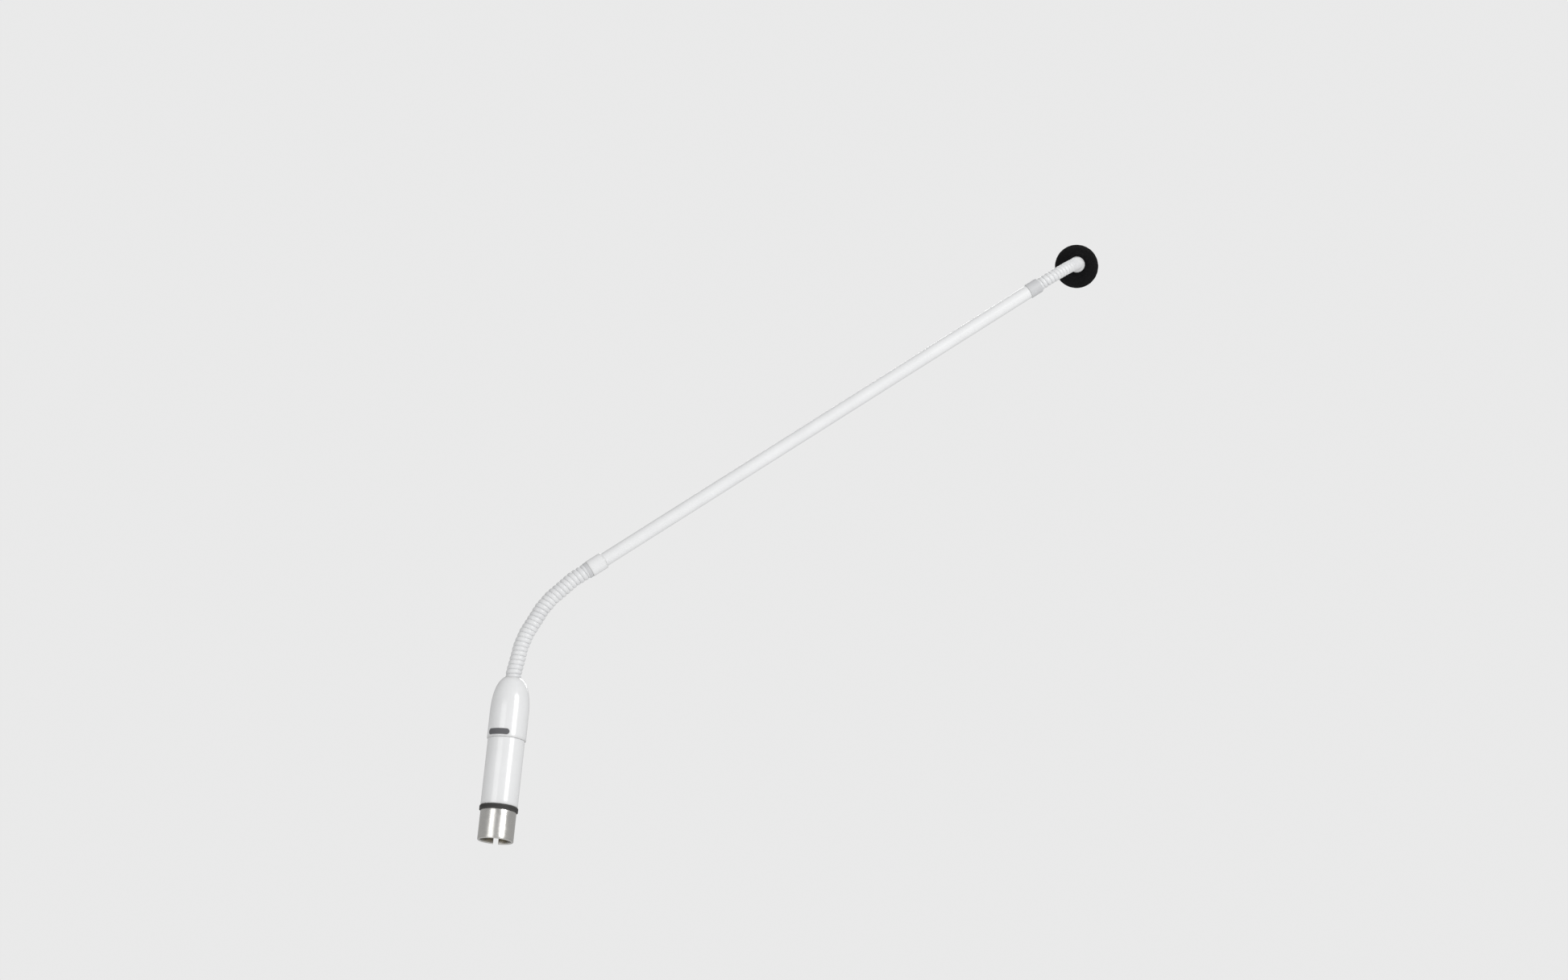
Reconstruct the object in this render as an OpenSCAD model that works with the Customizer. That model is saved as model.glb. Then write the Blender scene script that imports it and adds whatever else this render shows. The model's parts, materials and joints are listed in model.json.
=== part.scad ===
// Gooseneck podium microphone: a plug-in base, a bendable lower neck, a rigid tube,
// a bendable upper neck and a small electret capsule under a foam windscreen.
// The origin is on the plug's axis, on the face that rests on the desk. +Z runs up the base,
// the arm leans out along +X, and the head turns away along +Y. Millimetres and degrees.

/* [Plug] */
// Outside diameter of the plug's nose
nose_d = 18.6; // [18.3:0.1:18.8]
// Length of the nose below the desk face
nose_len = 15.5; // [14:0.5:17]
// Inside diameter of the nose
nose_bore_d = 16; // [15.6:0.1:16.2]
// Diameter of a contact pin
pin_d = 2.4; // [2.2:0.1:2.6]
// Radius of the circle that the contact pins stand on
pin_circle_r = 4.9; // [4.7:0.1:5.2]

/* [Base] */
// Outside diameter of the lower shell
shell_d = 19.2; // [19:0.1:19.6]
// Height of the lower shell's upper edge above the desk
shell_top = 37.5; // [36:0.5:40]
// Thickness of the rubber ring under the shell
gasket_h = 2.5; // [2:0.1:3]
// Outside diameter of the sleeve above the shell
sleeve_d = 20.2; // [20:0.1:20.8]
// Height at which the sleeve's nose would close to a point
sleeve_tip = 71.5; // [71:0.5:73]
// Height at which the sleeve starts to round in
sleeve_shoulder = 50; // [48:0.5:52]
// Roundness of the sleeve's nose: 2 is an ellipse, more is fuller
sleeve_power = 2.5; // [2.3:0.1:2.7]

/* [Lower neck] */
// Diameter of the lower neck
lower_d = 8.2; // [7.8:0.1:8.4]
// Distance between two bending points of the lower neck
lower_pitch = 7.5; // [7.3:0.1:8]
// Angle that the lower neck is bent through
lower_bend = 51; // [30:1:80]

/* [Arm] */
// Distance between the two bendable necks
arm_len = 295; // [250:5:320]
// Outside diameter of the rigid tube
tube_d = 7.2; // [6.8:0.1:7.6]
// Wall of the rigid tube
tube_wall = 0.8; // [0.6:0.1:1]
// Outside diameter of the collar at the tube's foot
collar_d = 8.9; // [8.6:0.1:9.4]

/* [Upper neck] */
// Diameter of the upper neck
upper_d = 6.6; // [6.4:0.1:6.8]
// Distance between two bending points of the upper neck
upper_pitch = 4.4; // [4.3:0.1:4.8]
// Angle that the upper neck is bent through
upper_bend = 78; // [60:1:84]
// Turn of the upper bend about the tube, from the arm's own plane
upper_roll = 98; // [80:1:110]

/* [Head] */
// Outside diameter of the capsule housing
housing_d = 8.6; // [8.4:0.1:9]
// Length of the capsule housing
housing_len = 22; // [20:0.5:24]
// Largest diameter of the foam windscreen
foam_d = 23.8; // [22:0.2:26]
// Length of the foam windscreen
foam_len = 30; // [28:0.5:34]

/* [Hidden] */
$fn = 64;
EPS = 0.01;
fit = 0.05;           // radial gap between pieces of one body
socket_gap = 0.2;     // gap round the ball between two coil sections
ball_step = 0.1;      // a section's ball is this much smaller in radius than the coil

// Bending points along each neck: 1 bends in the neck's plane, 0 bends sideways.
lower_plan = [1, 0, 1, 1, 0, 1, 1, 0, 1];
upper_plan = [1, 1, 0, 1, 1, 0, 1, 1];
lower_count = len(lower_plan) + 1;
upper_count = len(upper_plan) + 1;

// Base heights
gasket_d = 20;
tail_d = 16.4;
shoulder_h = 0.5;
tail_top = 9;
insert_bottom = -2;
insert_top = 7;
pin_tip = -13.5;
pin_tail = 10.5;
pin_stem_d = 2;
shell_bore_d = 16.6;
spigot_d = 17.5;
spigot_top = 44;
screw_z = 5.8;
screw_d = 2.5;
screw_head_d = 4.4;
bush_d = 13.2;
bush_bottom = 50;
bush_top = 63;
grub_d = 3;
grub_z = 56;
grub_out = 9.4;
neck_foot = 52;
neck_z = 69;
board_w = 12;
board_t = 1.2;
board_top = 34.5;
lead_d = 2.2;
lead_bore_d = 2.8;
lead_gap = 0.3;       // from a ball to the lead's stretch above it

// Badge: a plain dark mark on the sleeve's lower edge
badge_angle = 243;
badge_span = 72;
badge_bottom = 38.5;
badge_h = 3.2;
badge_t = 0.18;

// Arm, measured along the tube from the end of the lower neck
coil_end = 4.5;
end_ring_h = 2;
collar_foot = coil_end + end_ring_h;
collar_len = 9;
tube_foot = collar_foot + 1;
upper_coil_foot = arm_len - 6;
tube_top = upper_coil_foot - 1;
sleeve_ring_len = 7;
sleeve_ring_d = 8;

// Head, measured along the housing from the end of the upper neck
head_coil_end = 2;
housing_foot = 5;
housing_top = housing_foot + housing_len;
housing_wall = 0.75;
housing_floor = 1.2;
capsule_d = 6.8;
capsule_h = 5;
capsule_z = housing_top - 8;
seat_h = 1.4;
grille_h = 0.8;
grille_z = housing_top - 1.6;
grille_hole_d = 1;
foam_foot = 4.6;
foam_gap = 0.15;
foam_bore_top = housing_top + 0.4;

BASE = ["shell", "plug_nose", "pin_insert", "contact_pins", "shell_screw", "gasket_ring",
        "circuit_board", "board_parts", "sleeve", "badge", "neck_bush", "set_screw", "base_lead"];
ARM = ["neck_end_ring", "collar", "tube", "tube_lead", "upper_collar"];
HEAD = ["head_ring", "housing", "capsule", "capsule_seat", "grille", "head_lead", "windscreen"];

// Number of in-plane bending points below section i
function turns(plan, i) = i <= 0 ? 0 : turns(plan, i - 1) + plan[i - 1];

// Angle of section i of a neck that is bent through bend in all
function heading(plan, bend, i) = bend * turns(plan, i) / turns(plan, len(plan));

// Bending point i of a neck as [x, z] in the neck's own plane, from the neck's foot
function bend_point(plan, pitch, bend, i) =
    i <= 0 ? [0, pitch / 2]
           : bend_point(plan, pitch, bend, i - 1)
             + pitch * [sin(heading(plan, bend, i)), cos(heading(plan, bend, i))];

// Puts its children on section i, with z = 0 at the bending point below it
module on_section(plan, pitch, bend, i) {
    p = i == 0 ? [0, 0] : bend_point(plan, pitch, bend, i - 1);
    translate([p[0], 0, p[1]]) rotate([0, heading(plan, bend, i), 0]) children();
}

// Puts its children at the far end of a neck
module on_neck_end(plan, pitch, bend) {
    on_section(plan, pitch, bend, len(plan)) translate([0, 0, pitch / 2]) children();
}

module on_lower(i) {
    translate([0, 0, neck_z]) on_section(lower_plan, lower_pitch, lower_bend, i) children();
}

module on_arm() {
    translate([0, 0, neck_z]) on_neck_end(lower_plan, lower_pitch, lower_bend) children();
}

module on_upper(i) {
    on_arm() translate([0, 0, arm_len]) rotate([0, 0, upper_roll])
        on_section(upper_plan, upper_pitch, upper_bend, i) children();
}

module on_head() {
    on_arm() translate([0, 0, arm_len]) rotate([0, 0, upper_roll])
        on_neck_end(upper_plan, upper_pitch, upper_bend) children();
}

// A plain tube standing on z
module pipe(outer, inner, z, h) {
    translate([0, 0, z]) difference() {
        cylinder(d = outer, h = h);
        translate([0, 0, -1]) cylinder(d = inner, h = h + 2);
    }
}

// One section of wound coil from z = low to z = high, bored for the lead.
// A socket below clears the ball of the section before it, and its own ball ends it above.
module coil_section(d, low, high, socket, ball) {
    difference() {
        union() {
            translate([0, 0, low]) cylinder(d = d, h = high - low);
            if (ball) translate([0, 0, high]) sphere(r = d / 2 - ball_step);
        }
        if (socket) sphere(r = d / 2 + socket_gap);
        translate([0, 0, low - 1]) cylinder(d = lead_bore_d, h = high - low + d + 1);
    }
}

module lower_coil(i) {
    low = i == 0 ? neck_foot - neck_z : 0;
    high = i == 0 ? lower_pitch / 2
         : i == lower_count - 1 ? lower_pitch / 2 + coil_end
         : lower_pitch;
    color("gainsboro") on_lower(i)
        coil_section(lower_d, low, high, i > 0, i < lower_count - 1);
}

module upper_coil(i) {
    low = i == 0 ? upper_coil_foot - arm_len : 0;
    high = i == 0 ? upper_pitch / 2
         : i == upper_count - 1 ? upper_pitch / 2 + head_coil_end
         : upper_pitch;
    color("gainsboro") on_upper(i)
        coil_section(upper_d, low, high, i > 0, i < upper_count - 1);
}

module shell() {
    edge = 0.5;
    color("white") difference() {
        rotate_extrude() polygon([
            [shell_bore_d / 2, gasket_h], [shell_d / 2 - edge, gasket_h],
            [shell_d / 2, gasket_h + edge], [shell_d / 2, shell_top],
            [spigot_d / 2, shell_top], [spigot_d / 2, spigot_top],
            [shell_bore_d / 2, spigot_top]]);
        translate([0, 0, screw_z]) rotate([-90, 0, 0]) {
            cylinder(d = screw_d + 2 * fit, h = shell_d);
            translate([0, 0, shell_d / 2 - 0.9]) cylinder(d = screw_head_d + 2 * fit, h = 5);
        }
    }
}

module plug_nose() {
    latch = [4.4, 6, 3.2];
    key = [2.6, 6, 3.4];
    color("silver") difference() {
        union() {
            translate([0, 0, -nose_len]) cylinder(d = nose_d, h = nose_len);
            cylinder(d1 = nose_d, d2 = nose_d - 2 * shoulder_h, h = shoulder_h);
            cylinder(d = tail_d, h = tail_top);
        }
        translate([0, 0, -nose_len - 1]) cylinder(d = nose_bore_d, h = nose_len + tail_top + 2);
        translate([-latch[0] / 2, nose_bore_d / 2 - 2, -8.6]) cube(latch);
        translate([-key[0] / 2, nose_bore_d / 2 - 2, -nose_len - EPS]) cube(key);
        translate([0, 0, screw_z]) rotate([-90, 0, 0]) cylinder(d = screw_d + 2 * fit, h = nose_d);
    }
}

module on_pins() {
    for (a = [0, 180, 270]) rotate([0, 0, a]) translate([pin_circle_r, 0, 0]) children();
}

module pin_insert() {
    color("dimgray") difference() {
        translate([0, 0, insert_bottom])
            cylinder(d = nose_bore_d - 2 * fit, h = insert_top - insert_bottom);
        on_pins() translate([0, 0, insert_bottom - 1]) cylinder(d = pin_stem_d + 2 * fit, h = 20);
        translate([0, 0, screw_z]) rotate([-90, 0, 0]) translate([0, 0, 6])
            cylinder(d = screw_d + 2 * fit, h = nose_d);
    }
}

module contact_pins() {
    tip = 0.6;
    color("gold") on_pins() {
        translate([0, 0, pin_tip]) cylinder(d1 = pin_d - 2 * tip, d2 = pin_d, h = tip);
        translate([0, 0, pin_tip + tip]) cylinder(d = pin_d, h = insert_bottom - pin_tip - tip);
        translate([0, 0, insert_bottom]) cylinder(d = pin_stem_d, h = pin_tail - insert_bottom);
    }
}

module shell_screw() {
    head_h = 0.85;
    tip_y = 6.3;
    slot = [0.6, 3.4, 0.5];
    color("silver") translate([0, 0, screw_z]) rotate([-90, 0, 0]) difference() {
        union() {
            translate([0, 0, tip_y]) cylinder(d = screw_d, h = shell_d / 2 - tip_y);
            translate([0, 0, shell_d / 2 - head_h]) cylinder(d = screw_head_d, h = head_h - 0.1);
        }
        translate([-slot[0] / 2, -slot[1] / 2, shell_d / 2 - slot[2]]) cube([slot[0], slot[1], 2]);
        translate([-slot[1] / 2, -slot[0] / 2, shell_d / 2 - slot[2]]) cube([slot[1], slot[0], 2]);
    }
}

module gasket_ring() {
    color("black") difference() {
        pipe(gasket_d, tail_d + 0.2, 0, gasket_h);
        translate([0, 0, -1]) cylinder(d = nose_d + 2 * fit, h = 1 + shoulder_h + fit);
    }
}

module circuit_board() {
    color("darkgreen") translate([-board_w / 2, -board_t / 2, pin_tail])
        cube([board_w, board_t, board_top - pin_tail]);
}

module board_parts() {
    front = board_t / 2;
    color("black") {
        for (z = [16.5, 22.5]) translate([-1.5, front, z]) rotate([-90, 0, 0]) cylinder(d = 5, h = 5.2);
        translate([-3, front, 27]) cube([6, 1.6, 5]);
        for (x = [-4.4, 0.4]) translate([x, -front - 1.4, 14]) cube([4, 1.4, 2.4]);
        for (z = [19, 23, 27]) translate([-2, -front - 1, z]) cube([4, 1, 2]);
    }
}

// Half-width of the sleeve at height z
function sleeve_r(z) = sleeve_d / 2
    * pow(1 - pow((z - sleeve_shoulder) / (sleeve_tip - sleeve_shoulder), sleeve_power), 1 / sleeve_power);

module sleeve() {
    mouth_r = lower_d / 2 + 0.3;
    lip_r = mouth_r + 0.5;
    edge = 0.4;
    steps = 14;
    // Height at which the rounded nose has come in to the lip
    lip_z = sleeve_shoulder + (sleeve_tip - sleeve_shoulder)
        * pow(1 - pow(2 * lip_r / sleeve_d, sleeve_power), 1 / sleeve_power);
    nose = [for (k = [1:steps]) let (z = sleeve_shoulder
            + (lip_z - sleeve_shoulder) * sin(90 * k / steps)) [sleeve_r(z), z]];
    bush_r = bush_d / 2 + fit;
    color("white") difference() {
        rotate_extrude() polygon(concat(
            [[spigot_d / 2 + fit, shell_top], [sleeve_d / 2 - edge, shell_top],
             [sleeve_d / 2, shell_top + edge], [sleeve_d / 2, sleeve_shoulder]],
            nose,
            [[mouth_r, lip_z], [mouth_r, bush_top + 0.2], [bush_r, bush_top + 0.2],
             [bush_r, spigot_top + 2], [spigot_d / 2 + fit, spigot_top + 2]]));
        translate([0, 0, grub_z]) rotate([-90, 0, 0]) cylinder(d = grub_d + 2 * fit, h = sleeve_d);
    }
}

module badge() {
    color("dimgray") rotate([0, 0, badge_angle - badge_span / 2]) rotate_extrude(angle = badge_span)
        translate([sleeve_d / 2 + 0.02, badge_bottom]) square([badge_t, badge_h]);
}

module neck_bush() {
    color("goldenrod") difference() {
        pipe(bush_d, lower_d + 2 * fit, bush_bottom, bush_top - bush_bottom);
        translate([0, 0, grub_z]) rotate([-90, 0, 0]) cylinder(d = grub_d + 2 * fit, h = bush_d);
    }
}

module set_screw() {
    tip_y = lower_d / 2 + 0.05;
    color("silver") translate([0, 0, grub_z]) rotate([-90, 0, 0]) difference() {
        translate([0, 0, tip_y]) cylinder(d = grub_d, h = grub_out - tip_y);
        translate([0, 0, grub_out - 1.6]) cylinder(d = 1.7, h = 3, $fn = 6);
    }
}

// Where a lead can start above a neck of diameter d: just clear of the last ball
function lead_start(d, pitch) = d / 2 + lead_gap - pitch / 2;

module base_lead() {
    color("dimgray") translate([0, 0, board_top])
        cylinder(d = lead_d, h = neck_z + lower_pitch / 2 - 1 - board_top);
}

module neck_end_ring() {
    color("dimgray") on_arm() pipe(lower_d + 0.3, lead_bore_d, coil_end, end_ring_h);
}

module collar() {
    edge = 0.5;
    r = collar_d / 2;
    inner = tube_d / 2 + fit;
    color("white") on_arm() rotate_extrude() polygon([
        [lead_bore_d / 2, collar_foot], [r - edge, collar_foot], [r, collar_foot + edge],
        [r, collar_foot + collar_len - edge], [r - edge, collar_foot + collar_len],
        [inner, collar_foot + collar_len], [inner, tube_foot - fit], [lead_bore_d / 2, tube_foot - fit]]);
}

module tube() {
    color("white") on_arm() pipe(tube_d, tube_d - 2 * tube_wall, tube_foot, tube_top - tube_foot);
}

module tube_lead() {
    low = lead_start(lower_d, lower_pitch);
    color("dimgray") on_arm() translate([0, 0, low])
        cylinder(d = lead_d, h = arm_len + upper_pitch / 2 - 1 - low);
}

module upper_collar() {
    edge = 0.2;
    foot = tube_top - sleeve_ring_len / 2;
    top = foot + sleeve_ring_len;
    r = sleeve_ring_d / 2;
    inner = tube_d / 2 + fit;
    neck = upper_d / 2 + fit;
    color("gray") on_arm() rotate_extrude() polygon([
        [inner, foot], [r - edge, foot], [r, foot + edge], [r, top - edge], [r - edge, top],
        [neck, top], [neck, tube_top + fit], [inner, tube_top + fit]]);
}

module head_ring() {
    color("white") on_head() rotate_extrude() polygon([
        [lead_bore_d / 2, head_coil_end], [upper_d / 2 + 0.2, head_coil_end],
        [housing_d / 2, housing_foot - 0.6], [housing_d / 2, housing_foot],
        [lead_bore_d / 2, housing_foot]]);
}

module housing() {
    inner = housing_d / 2 - housing_wall;
    color("white") on_head() rotate_extrude() polygon([
        [lead_bore_d / 2, housing_foot], [housing_d / 2, housing_foot],
        [housing_d / 2, housing_top - 0.4], [housing_d / 2 - 0.4, housing_top],
        [inner, housing_top], [inner, housing_foot + housing_floor],
        [lead_bore_d / 2, housing_foot + housing_floor]]);
}

module capsule() {
    color("silver") on_head() translate([0, 0, capsule_z]) difference() {
        cylinder(d = capsule_d, h = capsule_h);
        translate([0, 0, capsule_h - 0.5]) cylinder(d = 2, h = 1);
    }
}

module capsule_seat() {
    color("black") on_head() pipe(capsule_d, 4, capsule_z - seat_h, seat_h);
}

module grille() {
    color("silver") on_head() translate([0, 0, grille_z]) difference() {
        cylinder(d = capsule_d, h = grille_h);
        translate([0, 0, -1]) cylinder(d = grille_hole_d, h = grille_h + 2);
        for (a = [0:60:300]) rotate([0, 0, a]) translate([2, 0, -1])
            cylinder(d = grille_hole_d, h = grille_h + 2);
    }
}

module head_lead() {
    low = lead_start(upper_d, upper_pitch);
    color("dimgray") on_head() translate([0, 0, low]) cylinder(d = lead_d, h = capsule_z - low);
}

// The foam is an egg with a fuller front, bored from behind for the housing.
module windscreen() {
    steps = 24;
    middle = foam_len * 0.52;
    bore_r = housing_d / 2 + foam_gap;
    mouth_r = bore_r + 1.6;
    // Height of the egg's centre above its rear face, where the outline meets the mouth
    rear = middle * sqrt(1 - pow(2 * mouth_r / foam_d, 2));
    front = foam_len - rear;
    start = -asin(sqrt(1 - pow(2 * mouth_r / foam_d, 2)));
    outline = [for (k = [0:steps - 1]) let (a = start + (90 - start) * k / steps)
               [foam_d / 2 * cos(a), rear + (a < 0 ? middle : front) * sin(a)]];
    color("black") on_head() translate([0, 0, foam_foot]) rotate_extrude() polygon(concat(
        [[bore_r, 0]], outline,
        [[0, foam_len], [0, foam_bore_top - foam_foot], [bore_r, foam_bore_top - foam_foot]]));
}

shell();
plug_nose();
pin_insert();
contact_pins();
shell_screw();
gasket_ring();
circuit_board();
board_parts();
sleeve();
badge();
neck_bush();
set_screw();
base_lead();
neck_end_ring();
collar();
tube();
tube_lead();
upper_collar();
head_ring();
housing();
capsule();
capsule_seat();
grille();
head_lead();
windscreen();
for (i = [1:lower_count])
    lower_coil(i - 1);
for (i = [1:upper_count])
    upper_coil(i - 1);
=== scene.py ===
"""Finished model of a gooseneck podium microphone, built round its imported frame.

The frame gives every place: the base stands on the row's origin, each neck follows its own hinges, and
the head follows the slide that the windscreen pulls off along. Pieces are turned, wound, cut and rounded
in their own upright frame, then seated on the microphone. Lengths in the classes are millimetres.
"""

import json
import logging
import math
from dataclasses import dataclass, field
from enum import Enum

import bpy
from mathutils import Matrix, Quaternion, Vector

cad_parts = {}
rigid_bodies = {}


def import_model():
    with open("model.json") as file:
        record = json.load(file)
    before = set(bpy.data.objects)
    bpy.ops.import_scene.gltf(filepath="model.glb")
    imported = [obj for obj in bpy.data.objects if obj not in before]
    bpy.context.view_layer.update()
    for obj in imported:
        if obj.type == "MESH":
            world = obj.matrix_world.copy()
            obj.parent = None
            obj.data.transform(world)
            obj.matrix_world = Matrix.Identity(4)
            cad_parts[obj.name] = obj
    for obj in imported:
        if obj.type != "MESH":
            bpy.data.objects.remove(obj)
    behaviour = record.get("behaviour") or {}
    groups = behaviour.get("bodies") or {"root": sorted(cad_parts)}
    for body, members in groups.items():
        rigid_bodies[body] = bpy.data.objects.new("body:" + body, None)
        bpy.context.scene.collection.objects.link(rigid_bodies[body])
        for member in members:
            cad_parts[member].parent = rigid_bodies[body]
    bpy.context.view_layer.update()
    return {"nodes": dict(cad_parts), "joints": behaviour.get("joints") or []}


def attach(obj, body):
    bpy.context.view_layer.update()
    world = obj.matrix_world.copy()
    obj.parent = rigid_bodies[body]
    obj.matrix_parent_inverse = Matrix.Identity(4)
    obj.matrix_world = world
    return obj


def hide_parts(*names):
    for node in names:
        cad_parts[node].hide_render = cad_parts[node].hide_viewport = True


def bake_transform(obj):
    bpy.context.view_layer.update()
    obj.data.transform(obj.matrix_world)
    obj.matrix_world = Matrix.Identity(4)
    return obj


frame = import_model()

MM = 0.001
FINE = 96        # sides of a turned piece
MERGE = 1e-6     # points nearer than this, in metres, are one
log = logging.getLogger("microphone")

Outline = list[tuple[float, float]]
Colour = tuple[float, float, float]


# ---------------------------------------------------------------------------
# Places
# ---------------------------------------------------------------------------


@dataclass(frozen=True)
class Seat:
    """A place on the microphone: a point and the two directions that an upright piece turns to."""

    point: Vector
    up: Vector
    front: Vector

    def matrix(self) -> Matrix:
        """Works out how an upright piece gets here.

        Returns:
            The matrix that carries it to this seat.
        """
        z = self.up.normalized()
        y = z.cross(self.front).normalized()
        x = y.cross(z)
        turn = Matrix((x, y, z)).transposed().to_4x4()
        return Matrix.Translation(self.point) @ turn

    def along(self, distance: float) -> "Seat":
        """Returns the same seat moved up its own axis.

        Args:
            distance: How far to move, in millimetres.

        Returns:
            The new seat.
        """
        return Seat(self.point + self.up.normalized() * distance * MM, self.up, self.front)


@dataclass(frozen=True)
class Bend:
    """One bending point of a neck, at rest."""

    point: Vector
    before: Vector
    after: Vector
    parent: str
    child: str

    def angle(self) -> float:
        """Returns how far the neck is bent here at rest, in radians."""
        return self.before.angle(self.after, 0.0)


class Side(Enum):
    """The two bendable necks."""

    LOWER = "lower_neck"
    UPPER = "upper_neck"


class Layout:
    """Every place on the microphone, read from the frame's joints."""

    def __init__(self) -> None:
        """Reads the hinges of both necks and the windscreen's slide."""
        joints = frame["joints"]
        lower = [j for j in joints if j["name"].startswith(Side.LOWER.value)]
        upper = [j for j in joints if j["name"].startswith(Side.UPPER.value)]
        pull = next(j for j in joints if j["type"] == "slide")
        up = Vector((0, 0, 1))
        self.arm_up = (Vector(upper[0]["pos_m"]) - Vector(lower[-1]["pos_m"])).normalized()
        self.head_up = Vector(pull["axis"]).normalized()
        self.bends = {Side.LOWER: self._bends(lower, up, self.arm_up),
                      Side.UPPER: self._bends(upper, self.arm_up, self.head_up)}
        self.normals = {Side.LOWER: up.cross(self.arm_up).normalized(),
                        Side.UPPER: self.arm_up.cross(self.head_up).normalized()}

    @staticmethod
    def _bends(joints: list[dict], first: Vector, last: Vector) -> list[Bend]:
        """Works out a neck's bending points.

        Args:
            joints: The neck's joints, from its foot.
            first: Direction of the neck below its first bending point.
            last: Direction of the neck above its last bending point.

        Returns:
            One Bend for each joint.
        """
        points = [Vector(j["pos_m"]) for j in joints]
        ways = [first] + [(b - a).normalized() for a, b in zip(points, points[1:])] + [last]
        return [Bend(p, ways[k], ways[k + 1], j["parent"], j["child"])
                for k, (p, j) in enumerate(zip(points, joints))]

    def pitch(self, side: Side) -> float:
        """Returns the distance between two bending points of a neck, in millimetres."""
        bends = self.bends[side]
        return (bends[1].point - bends[0].point).length / MM

    def _seat(self, side: Side, point: Vector, up: Vector) -> Seat:
        """Returns a seat whose front lies in the neck's own plane."""
        return Seat(point, up, self.normals[side].cross(up))

    def bend_seat(self, side: Side, k: int) -> Seat:
        """Returns the seat at bending point k of a neck, in line with the neck below it."""
        bend = self.bends[side][k]
        return self._seat(side, bend.point, bend.before)

    def foot(self, side: Side) -> Seat:
        """Returns the seat at a neck's foot, half a pitch below its first bending point."""
        return self.bend_seat(side, 0).along(-self.pitch(side) / 2)

    def end(self, side: Side) -> Seat:
        """Returns the seat at a neck's far end, half a pitch above its last bending point."""
        bend = self.bends[side][-1]
        return self._seat(side, bend.point, bend.after).along(self.pitch(side) / 2)


BASE_SEAT = Seat(Vector((0, 0, 0)), Vector((0, 0, 1)), Vector((1, 0, 0)))


# ---------------------------------------------------------------------------
# Making shapes
# ---------------------------------------------------------------------------


def arc(centre: tuple[float, float], radius: float, start: float, stop: float,
        steps: int = 5) -> Outline:
    """Points of a round corner in an outline.

    Args:
        centre: The corner's centre, as (distance from the axis, height).
        radius: The corner's radius.
        start: Angle of the first point, in degrees from straight outwards.
        stop: Angle of the last point.
        steps: Number of stretches.

    Returns:
        The points, as (distance from the axis, height).
    """
    angles = [math.radians(start + (stop - start) * k / steps) for k in range(steps + 1)]
    return [(centre[0] + radius * math.cos(a), centre[1] + radius * math.sin(a)) for a in angles]


def stepped(outline: Outline, step: float) -> Outline:
    """Splits an outline's long stretches, so that bends and masks have points to hold on to.

    Args:
        outline: The outline.
        step: The longest stretch to leave, in millimetres.

    Returns:
        The outline with the points added.
    """
    out = [outline[0]]
    for (r0, z0), (r1, z1) in zip(outline, outline[1:]):
        parts = max(1, math.ceil(math.hypot(r1 - r0, z1 - z0) / step))
        out += [(r0 + (r1 - r0) * k / parts, z0 + (z1 - z0) * k / parts) for k in range(1, parts + 1)]
    return out


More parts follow.
